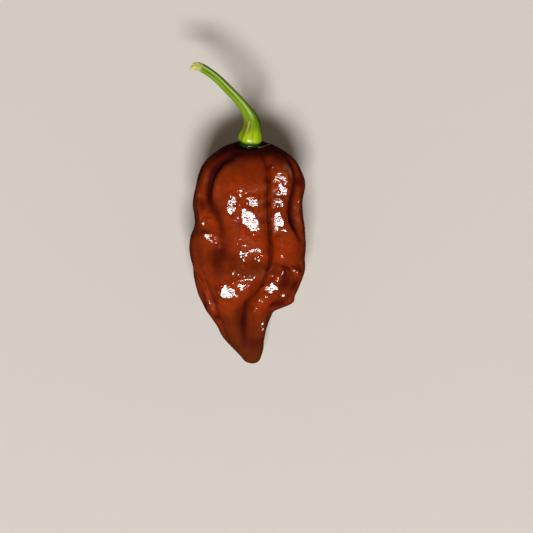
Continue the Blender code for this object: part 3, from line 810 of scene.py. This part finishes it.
# Rings from the calyx rim to the broken end: X, Y, Z, half width, half thickness
STEM_RINGS = (
    (0.10, 22.86, 18.02, 0.00, 0.00),
    (0.10, 22.86, 18.02, 2.60, 2.60),
    (0.10, 22.90, 18.04, 3.05, 3.05),
    (0.10, 23.12, 18.13, 3.24, 3.20),
    (0.10, 23.32, 18.21, 3.10, 3.06),
    (0.10, 23.60, 18.32, 2.98, 2.95),
    (0.10, 24.00, 18.48, 3.10, 3.05),
    (0.12, 24.60, 18.75, 3.38, 3.30),
    (0.20, 25.30, 19.02, 3.40, 3.28),
    (0.30, 26.00, 19.30, 3.22, 3.08),
    (0.55, 27.50, 19.85, 2.70, 2.55),
    (0.62, 29.20, 20.40, 2.25, 2.10),
    (0.00, 31.00, 20.85, 1.82, 1.72),
    (-1.60, 33.50, 21.20, 1.42, 1.40),
    (-3.90, 36.20, 21.30, 1.27, 1.25),
    (-6.40, 38.80, 21.20, 1.25, 1.22),
    (-8.75, 41.10, 20.90, 1.20, 1.18),
    (-11.20, 43.05, 20.50, 1.17, 1.12),
    (-13.40, 44.40, 20.05, 1.20, 1.10),
    (-14.80, 44.80, 19.75, 1.15, 0.98),
    (-15.60, 44.60, 19.60, 0.88, 0.75),
    (-16.15, 44.25, 19.50, 0.52, 0.48),
    (-16.50, 43.85, 19.42, 0.26, 0.30),
    (-16.60, 43.70, 19.40, 0.00, 0.00),
)

# Lengthwise edges: how many, their height as a share of the thickness, and their
# shift round the stem. They grow to that height over a share of the length, from a
# quarter of it at the calyx.
STEM_EDGES = (5, 0.06, 0.5)
EDGES_GROWN = 0.35
EDGES_LEAST = 0.25

# The stem's direction at a ring is taken over this share of its length each way
STEM_AIM = 0.08

# Waves of the broken end, as size and height in millimetres, and the shares of the
# stem's length where they start and over which they grow
TORN_WAVES = (0.7, 0.35)
TORN_START = 0.9
TORN_GROWN = 0.06

# Colours of the stalk: green, deep green that is also the painted shade on one side,
# pale strands, painted light on the other side, and the pale edge with a painted
# highlight
STEM_GREEN = (0.140, 0.255, 0.004, 1.0)
STEM_DEEP_AND_SHADE = (0.050, 0.125, 0.002, 1.0)
STEM_PALE = (0.270, 0.380, 0.050, 1.0)
STEM_PAINTED_LIGHT = (0.250, 0.370, 0.012, 1.0)
STEM_GLEAM = (0.560, 0.690, 0.270, 1.0)

# Colours of the calyx bulb, the painted shade on its rim, its freckles and scar, and the
# broken end
CALYX_LIME = (0.330, 0.455, 0.004, 1.0)
CALYX_RIM_SHADE = (0.008, 0.028, 0.003, 1.0)
STEM_FRECKLE = (0.160, 0.120, 0.008, 1.0)
STEM_SCAR = (0.420, 0.300, 0.100, 1.0)
STEM_BREAK = (0.560, 0.560, 0.150, 1.0)

# Strands along the stem: how tightly they lie, the range of the unevenness over
# which they come up, and how strongly. They are drawn on a round of radius 1, on
# which the whole stem is as long as the grain length.
GRAIN_LENGTH = 1.5
STREAK_TIGHTNESS, STREAK_RANGE = 1.6, (0.38, 0.62)
PALE_TIGHTNESS, PALE_RANGE, PALE_STRENGTH = 3.1, (0.5, 0.7), 0.5
VEIN_TIGHTNESS, VEIN_RANGE, VEIN_STRENGTH = 5.0, (0.46, 0.66), 0.6
FIBRE_TIGHTNESS = 7.0

# The stalk has painted light on one side and painted shade on the other, and the
# bulb is lime all round, more so on top: ranges on that round, and how strongly
LIT_SIDE_RANGE, LIT_SIDE_STRENGTH = (0.1, 0.95), 0.6
SHADED_SIDE_RANGE, SHADED_SIDE_STRENGTH = (-0.3, -0.95), 0.7
BULB_STRENGTH, UPPER_RANGE, UPPER_STRENGTH = 0.5, (0.35, 0.95), 0.45

# Bulb, veins and the pale edge with its painted highlight come up between two places
# along Y, in millimetres. The painted shade on the rim and the broken end follow the
# stem's length instead, as shares of it.
BULB_LIME = (28.2, 25.0)
BULB_VEINS = (31.5, 28.5)
GLEAM_START = (29.0, 32.0)
RIM_SHADE = (0.158, 0.120)
END_BROKEN = (0.86, 0.93)

# The pale edge, with a painted highlight on it, runs along the stalk at one turn round
# it, in radians
GLEAM_TURN, GLEAM_RANGE, GLEAM_STRENGTH = 1.80, (0.955, 1.0), 0.5

# A scar crosses the upper side of the calyx neck between two places in X and Y, and
# stays above a height in millimetres
SCAR_ENDS = ((-0.1, 29.2), (-0.9, 26.2))
SCAR_HALF_WIDTH, SCAR_LOWEST, SCAR_RANGE = 0.38, 19.8, (0.2, 0.8)

# Freckles lie round one place on the neck, with their reach in X and Y
NECK_PLACE, NECK_REACH = (-0.8, 28.0), (1.2, 1.4)
FRECKLE_SIZE, FRECKLE_RANGE = 0.7, (0.36, 0.52)

# The broken end begins raggedly and has dried specks
RAGGED_SIZE, RAGGED_SHARE = 0.9, 0.16
DRIED_SIZE, DRIED_RANGE, DRIED_STRENGTH = 0.6, (0.5, 0.7), 0.6

# The flesh has small cells between its fibres, and a soft shine
CELL_SIZE, CELL_SHARE = 0.5, 0.4
FLESH_DEPTH = 0.08
STEM_ROUGHNESS = 0.22
STEM_SPECULAR = 0.35


def rod(name, rings, around, along, edges, aim):
    """A closed rod along rings, with soft lengthwise edges."""
    net, share, turn = closed_net(name, around, along)
    outline = np.array(rings)[:, :4]
    rows = read_sections(rings, outline, 3, share)
    ahead = read_sections(rings, outline, 3, share + aim)[:, :3]
    behind = read_sections(rings, outline, 3, share - aim)[:, :3]
    forward = ahead - behind
    forward /= np.linalg.norm(forward, axis=1)[:, None]
    across = np.cross((0.0, 0.0, 1.0), forward)
    across /= np.linalg.norm(across, axis=1)[:, None]
    upward = np.cross(forward, across)
    number, height, shift = edges
    grown = np.clip(share / EDGES_GROWN, EDGES_LEAST, 1.0)
    edge = 1.0 + height * grown * np.cos(number * turn + shift)
    wide = (rows[:, 3] * edge * np.cos(turn))[:, None]
    high = (rows[:, 4] * edge * np.sin(turn))[:, None]
    return net, share, turn, rows[:, :3] + across * wide + upward * high


def strands(finish, grain, tightness, detail=2.0):
    """Uneven strands that run along the stem."""
    feeds = {"Vector": grain, "Scale": tightness, "Detail": detail}
    return step(finish, "ShaderNodeTexNoise", feeds).outputs["Fac"]


def stalk_colour(finish, grain, round_stem):
    """Streaked green, with painted light on one side and painted shade on the other."""
    streaks = ramp(finish, strands(finish, grain, STREAK_TIGHTNESS, 3.0), *STREAK_RANGE)
    colour = tint(finish, STEM_DEEP_AND_SHADE, streaks, STEM_GREEN)
    pale = ramp(finish, strands(finish, grain, PALE_TIGHTNESS), *PALE_RANGE)
    colour = tint(finish, colour, pale, STEM_PALE, PALE_STRENGTH)
    # Painted light on one side of the stalk and painted shade on the other
    lit_side = ramp(finish, round_stem.outputs["X"], *LIT_SIDE_RANGE)
    colour = tint(finish, colour, lit_side, STEM_PAINTED_LIGHT, LIT_SIDE_STRENGTH)
    shaded_side = ramp(finish, round_stem.outputs["X"], *SHADED_SIDE_RANGE)
    return tint(finish, colour, shaded_side, STEM_DEEP_AND_SHADE, SHADED_SIDE_STRENGTH)


def calyx_colour(finish, colour, place, grain, round_stem):
    """A lime bulb over the stalk's green, with veins, freckles and painted shade on its rim."""
    upper = ramp(finish, round_stem.outputs["Y"], *UPPER_RANGE)
    lime = plus(finish, times(finish, upper, UPPER_STRENGTH), BULB_STRENGTH)
    bulb = times(finish, along_y(finish, place, *BULB_LIME), lime)
    colour = tint(finish, colour, bulb, CALYX_LIME)
    veins = ramp(finish, strands(finish, grain, VEIN_TIGHTNESS), *VEIN_RANGE)
    veins = times(finish, veins, along_y(finish, place, *BULB_VEINS))
    colour = tint(finish, colour, veins, STEM_DEEP_AND_SHADE, VEIN_STRENGTH)
    freckles = ramp(finish, mottle(finish, place, FRECKLE_SIZE), *FRECKLE_RANGE)
    freckles = times(finish, freckles, read_note(finish, "neck"))
    colour = tint(finish, colour, freckles, STEM_FRECKLE)
    # Painted shade on the rim where the calyx meets the pod
    rim_shade = ramp(finish, read_note(finish, "along"), *RIM_SHADE)
    return tint(finish, colour, rim_shade, CALYX_RIM_SHADE)


def worn_colour(finish, colour, place):
    """The pale edge of the stalk with its painted highlight, the scar, and the dried and speckled
    broken end.
    """
    # A painted highlight along the pale edge
    gleam = ramp(finish, read_note(finish, "gleam"), *GLEAM_RANGE)
    gleam = times(finish, gleam, along_y(finish, place, *GLEAM_START))
    colour = tint(finish, colour, gleam, STEM_GLEAM, GLEAM_STRENGTH)
    scar = ramp(finish, read_note(finish, "scar"), *SCAR_RANGE)
    colour = tint(finish, colour, scar, STEM_SCAR)
    ragged = minus(finish, mottle(finish, place, RAGGED_SIZE), 0.5)
    ragged = times(finish, ragged, RAGGED_SHARE)
    broken = ramp(finish, plus(finish, read_note(finish, "along"), ragged), *END_BROKEN)
    colour = tint(finish, colour, broken, STEM_BREAK)
    dried = ramp(finish, mottle(finish, place, DRIED_SIZE), *DRIED_RANGE)
    dried = times(finish, dried, broken)
    return tint(finish, colour, dried, STEM_FRECKLE, DRIED_STRENGTH)


def stem_finish():
    """Green flesh: streaked stalk with painted light and shade on its sides and a painted highlight
    along its pale edge, lime bulb, painted shade on its rim and a pale broken end.
    """
    finish, shader = start_finish("stem_skin")
    place = place_on(finish)
    grain = step(finish, "ShaderNodeAttribute", {}, attribute_name="grain").outputs["Vector"]
    round_stem = step(finish, "ShaderNodeSeparateXYZ", {"Vector": grain})
    colour = stalk_colour(finish, grain, round_stem)
    colour = calyx_colour(finish, colour, place, grain, round_stem)
    cells = times(finish, mottle(finish, place, CELL_SIZE, 2.0), CELL_SHARE)
    height = plus(finish, cells, strands(finish, grain, FIBRE_TIGHTNESS))
    feed(finish, shader, {
        "Base Color": worn_colour(finish, colour, place),
        "Roughness": STEM_ROUGHNESS,
        "Specular IOR Level": STEM_SPECULAR,
        "Normal": relief(finish, height, FLESH_DEPTH),
    })
    return finish


def scar_share(points):
    """How fully the scar covers each point of the stem's upper side, from 0 to 1."""
    start, end = np.array(SCAR_ENDS)
    run = end - start
    part = np.clip((points[:, :2] - start) @ run / (run @ run), 0.0, 1.0)
    gap = np.linalg.norm(points[:, :2] - start - part[:, None] * run, axis=1)
    return np.clip(1.0 - gap / SCAR_HALF_WIDTH, 0.0, 1.0) * (points[:, 2] > SCAR_LOWEST)


def neck_share(points):
    """How thickly the freckles may lie at each point, from 0 to 1."""
    away = (points[:, :2] - NECK_PLACE) / NECK_REACH
    return np.exp(-(away**2).sum(axis=1))


net, share, turn, flesh = rod(
    "green_stem", STEM_RINGS, STEM_AROUND, STEM_ALONG, STEM_EDGES, STEM_AIM
)
torn = waver(flesh, *TORN_WAVES) * np.clip((share - TORN_START) / TORN_GROWN, 0.0, 1.0)
flesh += shape_net(net, flesh) * torn[:, None]
stem = finish_piece(net, flesh, stem_finish())
note(stem, "along", share)
note(stem, "gleam", np.cos(turn - GLEAM_TURN))
note(stem, "scar", scar_share(flesh))
note(stem, "neck", neck_share(flesh))
note(stem, "grain", np.column_stack((np.cos(turn), np.sin(turn), share * GRAIN_LENGTH)))
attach(stem, "root")
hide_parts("stem")


# One dried sepal tip, a thin brown thread of dead leaf, grew with the calyx. It
# curls from the calyx rim over the pod's shoulder, a little way into the waxy skin,
# and stands off at its end.
THREAD_AROUND = 12
THREAD_ALONG = 48
THREAD_EDGES = (3, 0.1, 0.0)
THREAD_AIM = 0.1

# Places along the thread that lie on the skin, as X, Y and half thickness, and
# rings of its free end. Its middle is over the skin by a share of that thickness.
THREAD_POINTS = ((2.3, 22.15, 0.28), (3.0, 22.2, 0.22), (3.8, 22.4, 0.20), (4.8, 22.9, 0.16))
THREAD_END = ((5.7, 23.4, 18.4, 0.10, 0.10), (5.95, 23.6, 18.3, 0.0, 0.0))
THREAD_RAISED = 0.6
THREAD_BROWN = (0.230, 0.130, 0.055, 1.0)
THREAD_MOTTLE = 0.6
THREAD_ROUGHNESS = 0.6

ABOVE_POD = 40.0
pod_surface = BVHTree.FromObject(pod, bpy.context.evaluated_depsgraph_get())


def shoulder_height(x, y):
    """The height of the pod's skin at a place, in millimetres, found from above."""
    above = Vector((x * MM, y * MM, ABOVE_POD * MM))
    return pod_surface.ray_cast(above, Vector((0.0, 0.0, -1.0)))[0].z / MM


def thread_finish():
    """Dry brown fibre."""
    finish, shader = start_finish("dried_sepal")
    mottled = mottle(finish, place_on(finish), THREAD_MOTTLE)
    colour = tint(finish, THREAD_BROWN, mottled, SKIN_TIP)
    feed(finish, shader, {"Base Color": colour, "Roughness": THREAD_ROUGHNESS})
    return finish


thread_rings = [
    (x, y, shoulder_height(x, y) + THREAD_RAISED * half, half, half) for x, y, half in THREAD_POINTS
]
thread_rings = [(*thread_rings[0][:3], 0.0, 0.0), *thread_rings, *THREAD_END]
net, share, turn, fibre = rod(
    "sepal_thread", thread_rings, THREAD_AROUND, THREAD_ALONG, THREAD_EDGES, THREAD_AIM
)
thread = finish_piece(net, fibre, thread_finish())
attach(thread, "root")


# The floor is a plain pale sheet, matt and smooth. It lies flat under the pepper
# and curves up into a low wall all round. Its sizes are in metres.
FLOOR_RADIUS = 1.2
FLOOR_BEND = 0.5
FLOOR_BEND_ROWS = 13
WALL_HEIGHT = 0.9
FLOOR_AROUND = 96
FLOOR_PALE = (0.55, 0.52, 0.48, 1.0)
FLOOR_ROUGHNESS = 0.9

bend = np.linspace(0.0, math.pi / 2, FLOOR_BEND_ROWS)
sheet_radii = FLOOR_RADIUS + FLOOR_BEND * np.append(np.sin(bend), 1.0)
sheet_heights = np.append(FLOOR_BEND * (1.0 - np.cos(bend)), WALL_HEIGHT)
spokes = np.arange(FLOOR_AROUND) * 2.0 * math.pi / FLOOR_AROUND
corners = [(0.0, 0.0, 0.0)]
faces = [(0, 1 + a, 1 + (a + 1) % FLOOR_AROUND) for a in range(FLOOR_AROUND)]
for row, (radius, height) in enumerate(zip(sheet_radii, sheet_heights)):
    corners += [(radius * math.cos(spoke), radius * math.sin(spoke), height) for spoke in spokes]
    if row:
        inner = 1 + (row - 1) * FLOOR_AROUND
        outer = inner + FLOOR_AROUND
        for a in range(FLOOR_AROUND):
            b = (a + 1) % FLOOR_AROUND
            faces.append((inner + a, outer + a, outer + b, inner + b))
sheet = bpy.data.meshes.new("pale_floor")
sheet.from_pydata(corners, [], faces)
sheet.polygons.foreach_set("use_smooth", [True] * len(faces))
floor_paint, floor_shader = start_finish("floor_paint")
feed(floor_paint, floor_shader, {"Base Color": FLOOR_PALE, "Roughness": FLOOR_ROUGHNESS})
sheet.materials.append(floor_paint)
floor = bpy.data.objects.new("pale_floor", sheet)
floor.visible_glossy = False
bpy.context.scene.collection.objects.link(floor)


# One soft box above the tip end lights the pepper, and a dim room with faintly
# lit walls fills the shadows. The box's sizes are in metres, its power in watts.
BOX_TOWARDS = (0.0, -0.5, 0.866)
BOX_DISTANCE = 3.0
BOX_WIDTH = 1.3
BOX_HEIGHT = 0.65
BOX_POWER = 110.0

# The walls light up between two heights and fade between two others. A height is 0
# at eye level and 1 straight up.
ROOM_DARK = (0.012, 0.008, 0.006, 1.0)
ROOM_WALLS = (0.150, 0.080, 0.030, 1.0)
WALLS_LIGHT_UP = (0.05, 0.3)
WALLS_FADE = (0.9, 0.6)

lamp = bpy.data.lights.new("key_box", "AREA")
lamp.shape = "RECTANGLE"
lamp.size = BOX_WIDTH
lamp.size_y = BOX_HEIGHT
lamp.energy = BOX_POWER
soft_box = bpy.data.objects.new("key_box", lamp)
direction = Vector(BOX_TOWARDS).normalized()
soft_box.location = direction * BOX_DISTANCE
soft_box.rotation_euler = direction.to_track_quat("Z", "Y").to_euler()
bpy.context.scene.collection.objects.link(soft_box)

room = bpy.data.worlds.new("dim_room")
bpy.context.scene.world = room
room.use_nodes = True
way = step(room, "ShaderNodeTexCoord", {}).outputs["Generated"]
rise = step(room, "ShaderNodeSeparateXYZ", {"Vector": way}).outputs["Z"]
walls = times(room, ramp(room, rise, *WALLS_LIGHT_UP), ramp(room, rise, *WALLS_FADE))
glow = tint(room, ROOM_DARK, walls, ROOM_WALLS)
feed(room, room.node_tree.nodes["Background"], {"Color": glow})
bpy.context.scene.view_settings.view_transform = "Standard"
